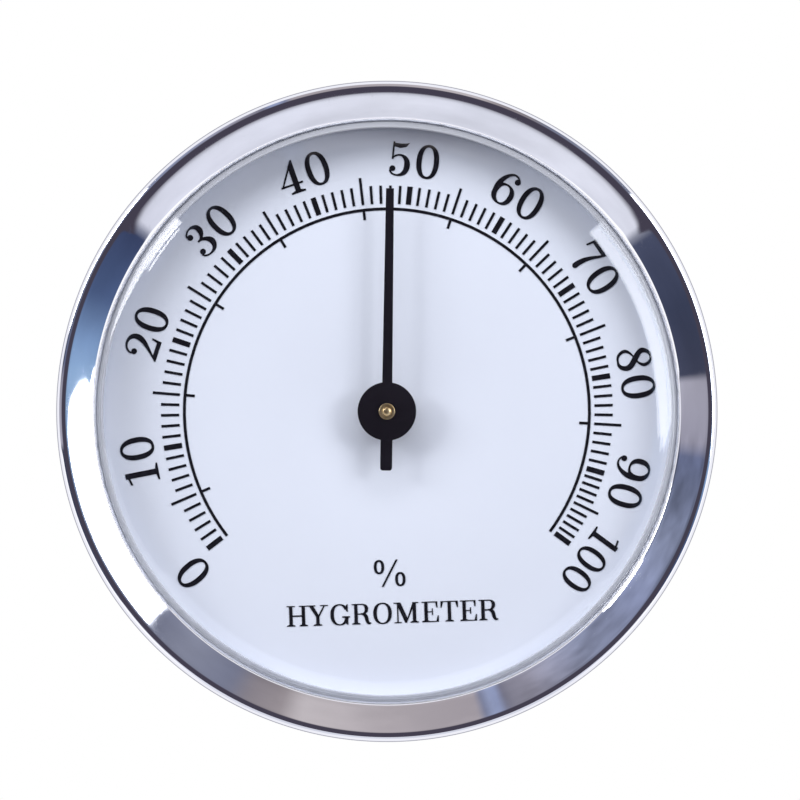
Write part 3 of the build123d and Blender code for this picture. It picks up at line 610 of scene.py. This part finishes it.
# (depth, how far the slot's edge is set back there): the slots flare at the case's back.
VENT_LEVELS = ((CASE_FLOOR - 0.5, 0.0), (case_back - 0.32, 0.0), (case_back - 0.2, 0.04),
               (case_back - 0.1, 0.15), (case_back + 0.6, 0.85))
for vent in range(VENTS):
    angle = 2 * pi * vent / VENTS
    levels = []
    for depth, grow in VENT_LEVELS:
        edge = vent_outline(angle, grow)
        levels.append([vent_cutter.verts.new((x * MM, depth * MM, z * MM)) for x, z in edge])
    for level, following in zip(levels, levels[1:]):
        for index in range(len(level)):
            after = (index + 1) % len(level)
            corners = [level[index], level[after], following[after], following[index]]
            vent_cutter.faces.new(corners)
    vent_cutter.faces.new(levels[0][::-1])
    vent_cutter.faces.new(levels[-1])
cutter = mesh_object("vent_cutter", vent_cutter)
slots = case_cup.modifiers.new("slots", "BOOLEAN")
slots.operation = "DIFFERENCE"
slots.solver = "EXACT"
slots.object = cutter
cut = evaluated_mesh(case_cup)
case_cup.modifiers.clear()
case_cup.data = cut
bpy.data.objects.remove(cutter)
cut.shade_smooth()
cut.set_sharp_from_angle(angle=SHARP_ANGLE)
dress(case_cup, "case_plastic", "case", "rear_case")

# --- the small turned pieces at the middle ---

bush_front, bush_back, bush_flange = reach("pointer_bush")
BUSH = 0.89
SHAFT = 0.5
POINTER_BACK = -2.65
bush_outline = eased(
    [
        (SHAFT, bush_front),
        (BUSH, bush_front),
        (BUSH, POINTER_BACK),
        (bush_flange, POINTER_BACK),
        (bush_flange, bush_back),
        (SHAFT, bush_back),
    ],
    0.09,
)
dress(lathe("bush_turned", bush_outline, 96), "movement_brass", "pointer", "pointer_bush")

arbor_front, arbor_back, arbor_radius = reach("arbor")
ARBOR_SHOULDER = 8.6
ARBOR_PIVOT = 0.3
dome = [(0, arbor_front)]
dome += [(0.2, arbor_front + 0.02), (0.34, arbor_front + 0.07), (0.45, arbor_front + 0.14)]
arbor_outline = dome + [
    (arbor_radius, arbor_front + 0.24),
    (arbor_radius, 8.55),
    (arbor_radius - 0.05, ARBOR_SHOULDER),
    (ARBOR_PIVOT, ARBOR_SHOULDER),
    (ARBOR_PIVOT, arbor_back - 0.1),
    (0.22, arbor_back),
    (0, arbor_back),
]
dress(lathe("arbor_turned", arbor_outline, 72), "movement_brass", "pointer", "arbor")

bearing_front, bearing_back, bearing_flange = reach("front_bearing")
BORE = 0.54
BEARING_FLANGE_BACK = -1.0
BEARING_BARREL = 1.6
BEARING_RIVET = (2.1, 0.3)
bearing_outline = eased(
    [
        (BORE, bearing_front),
        (bearing_flange, bearing_front),
        (bearing_flange, BEARING_FLANGE_BACK),
        (BEARING_BARREL, BEARING_FLANGE_BACK),
        (BEARING_BARREL, BEARING_RIVET[1]),
        BEARING_RIVET,
        (BEARING_RIVET[0], bearing_back),
        (BORE, bearing_back),
    ],
    0.08,
)
dress(lathe("bearing_turned", bearing_outline, 96), "movement_brass", "case", "front_bearing")

# --- the pointer: stamped sheet with a rolled-over edge ---

# The pointer rests a little clockwise of 12.
REST = radians(0.8)
pointer_front, pointer_back, _ = reach("pointer")
# Tip's radius, and half the width at the hub and at the tip.
NEEDLE = (24.3, 1.1 / 2, 0.86 / 2)
# End's radius, half the width, and the radius of its corners.
TAIL = (6.45, 1.3 / 2, 0.3)
DISC = 3.19
EDGE_ROUND = 0.05
DISC_STEPS = 64
CORNER_TURNS = 4
HOLE_STEPS = 48


def stamped_pointer():
    """The pointer's outline, clockwise from the needle's tip, as (right, up) points."""
    tip, root_half, tip_half = NEEDLE
    tail, tail_half, tail_round = TAIL
    needle_turn = degrees(asin(root_half / DISC))
    tail_turn = degrees(asin(tail_half / DISC))
    points = [(-tip_half, tip), (tip_half, tip)]
    for side in (1, -1):
        begin, finish = needle_turn, 180 - tail_turn
        if side == -1:
            begin, finish = finish, begin
        for step in range(DISC_STEPS + 1):
            turn = radians(begin + (finish - begin) * step / DISC_STEPS)
            points.append((side * DISC * sin(turn), DISC * cos(turn)))
        if side == 1:
            for corner, first in ((1, 0), (-1, 90)):
                for step in range(CORNER_TURNS + 1):
                    turn = radians(first + 90 * step / CORNER_TURNS)
                    points.append((corner * (tail_half - tail_round) + tail_round * cos(turn),
                                   -(tail - tail_round) - tail_round * sin(turn)))
    return [(x * cos(REST) + z * sin(REST), z * cos(REST) - x * sin(REST)) for x, z in points]


outline_curve = bpy.data.curves.new("pointer_outline", "CURVE")
outline_curve.dimensions = "2D"
outline_curve.fill_mode = "BOTH"
thickness = (pointer_back - pointer_front) * MM
outline_curve.extrude = thickness / 2 - EDGE_ROUND * MM
outline_curve.bevel_depth = EDGE_ROUND * MM
outline_curve.bevel_resolution = 2
outline_curve.offset = -EDGE_ROUND * MM
hole_turns = [2 * pi * step / HOLE_STEPS for step in range(HOLE_STEPS)]
hole = [(BUSH * cos(angle), BUSH * sin(angle)) for angle in hole_turns]
for loop in (stamped_pointer(), hole):
    spline = outline_curve.splines.new("POLY")
    spline.points.add(len(loop) - 1)
    for point, (x, z) in zip(spline.points, loop):
        point.co = (x * MM, z * MM, 0, 1)
    spline.use_cyclic_u = True
flat = bpy.data.objects.new("pointer_flat", outline_curve)
bpy.context.scene.collection.objects.link(flat)
stamped = evaluated_mesh(flat)
bpy.data.objects.remove(flat)
middle_depth = (pointer_front + pointer_back) / 2 * MM
for vertex in stamped.vertices:
    x, up, depth = vertex.co
    vertex.co = (x, middle_depth - depth, up)
builder = bmesh.new()
builder.from_mesh(stamped)
bmesh.ops.remove_doubles(builder, verts=builder.verts, dist=1e-7)
dress(mesh_object("pointer_stamped", builder), "pointer_paint", "pointer", "pointer")

# --- studio ---

scene = bpy.context.scene
scene.view_settings.view_transform = "Standard"

# The world. A direction is told by its lean, the angle from straight out of the dial, and by
# its hour, the angle clockwise from 12, both in degrees.
world = bpy.data.worlds.new("studio")
scene.world = world
world.use_nodes = True
studio = Graph(world.node_tree)
heading = studio.add("ShaderNodeTexCoord").outputs["Generated"]
way = studio.add("ShaderNodeSeparateXYZ", {0: heading})
DEGREE = 180 / pi
outward = studio.math("MULTIPLY", way.outputs[1], -1.0)
lean = studio.math("MULTIPLY", studio.math("ARCCOSINE", outward), DEGREE)
hour = studio.math("MULTIPLY", studio.math("ARCTAN2", way.outputs[0], way.outputs[2]), DEGREE)

# The room that polished and clear surfaces mirror: (hour, shade) round the walls.
WALLS = [
    (-180.0, (228, 230, 241)),
    (-126.0, (222, 224, 236)),
    (-124.8, (74, 80, 104)),
    (-110.0, (60, 66, 88)),
    (-97.0, (66, 70, 90)),
    (-95.8, (172, 170, 184)),
    (-84.0, (158, 156, 172)),
    (-81.5, (106, 114, 144)),
    (-66.0, (136, 144, 170)),
    (-54.0, (120, 127, 154)),
    (-40.0, (136, 142, 166)),
    (-28.0, (140, 138, 152)),
    (-22.8, (138, 136, 150)),
    (-22.0, (78, 78, 98)),
    (-21.2, (150, 160, 194)),
    (-18.6, (158, 168, 200)),
    (-17.9, (84, 78, 92)),
    (-16.9, (176, 168, 174)),
    (0.0, (186, 178, 182)),
    (16.0, (194, 187, 189)),
    (20.0, (150, 142, 145)),
    (26.0, (134, 128, 134)),
    (30.0, (116, 120, 140)),
    (40.0, (134, 138, 156)),
    (48.0, (120, 124, 144)),
    (97.0, (142, 172, 208)),
    (103.0, (126, 154, 194)),
    (112.0, (78, 96, 134)),
    (126.2, (58, 68, 100)),
    (127.2, (220, 222, 235)),
    (180.0, (228, 230, 241)),
]


def table(value, last, stops):
    """A number that follows straight lines between (value, number) stops, from 0 to last."""
    top = max(number for _, number in stops)
    shades = [
        (place / last, (number / top, number / top, number / top, 1.0)) for place, number in stops
    ]
    ramp = studio.ramp(studio.math("DIVIDE", value, last), shades)
    return studio.math("MULTIPLY", ramp, top)


turn = studio.math("ADD", studio.math("DIVIDE", hour, 360.0), 0.5)
walls = studio.ramp(turn, [(place / 360 + 0.5, colour(*shade)) for place, shade in WALLS])
# Soft clouding of the walls, most where the room is busier.
cloud = studio.noise(3.2, heading, 4.0)
busy = studio.span(hour, -84.0, -26.0, 8.0)
depth = studio.math("ADD", studio.math("MULTIPLY", busy, 0.5), 0.12)
shade_low = studio.math("SUBTRACT", 1.0, depth)
shade_high = studio.math("ADD", 1.0, depth)
shading_inputs = {0: cloud, 1: 0.35, 2: 0.65, 3: shade_low, 4: shade_high}
shading = studio.add("ShaderNodeMapRange", shading_inputs).outputs[0]
clouded = studio.add("ShaderNodeVectorMath", {0: walls, 1: shading}, operation="MULTIPLY")
walls = clouded.outputs[0]
aside = studio.math("ABSOLUTE", hour)
behind_camera = colour(70, 66, 80)
# The pale card under the dial has rounded corners where it meets the dark round the camera.
dark_end = table(aside, 180.0, [(0.0, 38.0), (124.2, 38.0), (125.2, 44.6), (127.0, 42.4),
                                (130.0, 41.2), (136.0, 40.6), (180.0, 40.2)])
softness = table(aside, 180.0, [(0.0, 16.0), (118.0, 14.0), (125.0, 2.2), (180.0, 2.2)])
past_dark = studio.step(lean, studio.math("SUBTRACT", dark_end, softness),
                        studio.math("ADD", dark_end, 0.8))
room = studio.mix(past_dark, behind_camera, walls)
# The card's far edge catches the light, and spreads further round than its near edge.
flare_start = table(aside, 180.0, [(0.0, 96.0), (94.0, 94.0), (98.0, 57.0), (108.0, 56.0),
                                   (118.0, 54.0), (124.0, 51.5), (127.0, 49.8), (133.0, 52.0),
                                   (140.0, 60.0), (150.0, 76.0), (180.0, 78.0)])
flare = studio.step(studio.math("SUBTRACT", lean, flare_start), -0.9, 0.9)
FLARE = (1.15, 1.15, 1.18, 1.0)
# The room whitens towards the dial's own plane, and is grey well behind it.
AT_THE_SIDE = (0.95, 0.95, 1.0, 1.0)
WHITENS = (68.0, 75.0)
GREYS = (118.0, 128.0)
room = studio.mix(flare, room, FLARE)
room = studio.mix(studio.step(lean, *WHITENS), room, AT_THE_SIDE)
room = studio.mix(studio.step(lean, *GREYS), room, colour(172, 172, 182))

# The right-hand window has an uneven far edge.
box_edge = table(lean, 100.0, [(38.0, 86.0), (40.0, 91.0), (41.5, 93.6), (43.4, 95.2),
                               (46.0, 96.0), (47.8, 94.6), (49.4, 97.8), (51.0, 98.5),
                               (58.0, 97.0), (71.0, 90.0), (85.0, 80.0)])
inside_edge = studio.math("SUBTRACT", box_edge, hour)
right_box = studio.math("MULTIPLY", studio.span(hour, 48.6, 120.0, 0.9),
                        studio.step(inside_edge, -0.6, 0.6))
right_box = studio.math("MULTIPLY", right_box, studio.span(lean, 37.9, 68.8, 1.4))
# The left-hand window narrows to a wedge, with a strip of light beside it.
left_from = table(aside, 180.0, [(0.0, 56.0), (47.0, 56.0), (57.0, 58.8), (65.0, 62.0),
                                 (72.0, 66.0), (77.0, 71.0), (180.0, 71.0)])
left_box = studio.math("MULTIPLY", studio.span(hour, -76.8, -47.5, 0.8),
                       studio.step(studio.math("SUBTRACT", lean, left_from), -0.4, 0.4))
left_box = studio.math("MULTIPLY", left_box, studio.step(lean, 70.0, 71.0, 1.0, 0.0))
left_strip = studio.math("MULTIPLY", studio.span(hour, -59.5, -48.8, 0.8),
                         studio.span(lean, 50.2, 53.6, 0.8))
left_light = studio.math("MAXIMUM", left_box, left_strip)
RIGHT_BOX = (5.2, 5.4, 5.9, 1.0)
LEFT_BOX = (14.0, 14.0, 14.4, 1.0)
lit = studio.mix(right_box, room, RIGHT_BOX)
lit = studio.mix(left_light, lit, LEFT_BOX)

FILL = (0.215, 0.22, 0.245, 1.0)
BACKDROP = (1.0, 1.0, 1.0, 1.0)
path = studio.add("ShaderNodeLightPath").outputs
seen = studio.math("MAXIMUM", path["Is Camera Ray"], path["Is Transmission Ray"])
# Only what the camera sees mirrored is the room: light that has reached a matt surface first
# gets the even fill.
mirrored = studio.math("MULTIPLY", path["Is Glossy Ray"],
                       studio.math("LESS_THAN", path["Diffuse Depth"], 0.5))
shown = studio.mix(mirrored, FILL, lit)
shown = studio.mix(seen, shown, BACKDROP)
background = studio.add("ShaderNodeBackground", {"Color": shown})
studio.put(studio.add("ShaderNodeOutputWorld").inputs[0], background.outputs[0])


def softbox(name, hour_angle, lean_angle, width, height, share):
    """An area light a metre away that gives the dial this share of its light.

    Its width and height are the angles that it fills. Mirrors and the lens show the room instead.
    """
    direction = Vector((
        sin(radians(lean_angle)) * sin(radians(hour_angle)),
        -cos(radians(lean_angle)),
        sin(radians(lean_angle)) * cos(radians(hour_angle)),
    ))
    light = bpy.data.lights.new(name, "AREA")
    light.shape = "RECTANGLE"
    light.size = 2 * sin(radians(width / 2))
    light.size_y = 2 * sin(radians(height / 2))
    light.energy = share * pi * pi / cos(radians(lean_angle))
    lamp = bpy.data.objects.new(name, light)
    scene.collection.objects.link(lamp)
    lamp.location = direction
    lamp.rotation_euler = direction.to_track_quat("Z", "Y").to_euler()
    lamp.visible_glossy = False
    lamp.visible_camera = False
    lamp.visible_transmission = False


softbox("box_right", 72.0, 61.0, 20.0, 18.0, 0.23)
softbox("box_left", -66.0, 69.0, 18.0, 16.0, 0.24)
TOP_BOXES = 5
TOP_SHARE = 0.47
TOP_FIRST = -42.0
TOP_STEP = 21.0
for number in range(TOP_BOXES):
    top_hour = TOP_FIRST + TOP_STEP * number
    softbox(f"box_top_{number}", top_hour, 64.0, 22.0, 18.0, TOP_SHARE / TOP_BOXES)

# The floor, well below the dial. It is left out of reflections and of the light on the dial.
floor_mesh = bmesh.new()
FLOOR_HEIGHT = -0.066
FLOOR_RADIUS = 0.62
FLOOR_FADE = (0.34, 0.58)
bmesh.ops.create_circle(floor_mesh, cap_ends=True, segments=128, radius=FLOOR_RADIUS)
floor = mesh_object("floor", floor_mesh)
floor.location.z = FLOOR_HEIGHT
floor.visible_glossy = False
floor.visible_diffuse = False


def pale_floor(graph, shader):
    """Matt white card that melts into the backdrop before its edge."""
    speckle = graph.noise(900.0, graph.place(), 2.0)
    tone = graph.mix(speckle, colour(240, 240, 243), colour(236, 237, 241))
    fill(graph, shader, base_color=tone, roughness=graph.step(speckle, 0.3, 0.7, 0.7, 0.8),
         emission_color=tone)
    shader.inputs["Specular IOR Level"].default_value = 0.1
    shader.inputs["Emission Strength"].default_value = 0.1
    away = graph.add("ShaderNodeVectorMath", {0: graph.place()}, operation="LENGTH").outputs[1]
    faded = graph.step(away, *FLOOR_FADE)
    nothing = graph.add("ShaderNodeBsdfTransparent").outputs[0]
    return graph.blend(faded, shader.outputs[0], nothing)


floor.data.materials.append(new_material("floor_look", pale_floor))

# The camera: square on, far back, with the dial a little left of and below the middle.
CAMERA_DISTANCE = 1.5
# The bezel's width, and the share of the picture's width that it takes.
BEZEL_WIDTH = 72.0
BEZEL_SHARE = 0.825
FRAME_WIDTH = BEZEL_WIDTH / BEZEL_SHARE * MM
SHARP_DEPTH = -1.5 * MM
CENTRE_OFFSET = (1.43 * MM, 1.24 * MM)
SENSOR = 36.0
camera_data = bpy.data.cameras.new("camera")
camera_data.sensor_width = SENSOR
camera_data.lens = SENSOR * CAMERA_DISTANCE / FRAME_WIDTH
camera_data.clip_end = 30
camera = bpy.data.objects.new("camera", camera_data)
scene.collection.objects.link(camera)
camera.location = (CENTRE_OFFSET[0], SHARP_DEPTH - CAMERA_DISTANCE, CENTRE_OFFSET[1])
camera.rotation_euler = (pi / 2, 0, 0)
scene.camera = camera
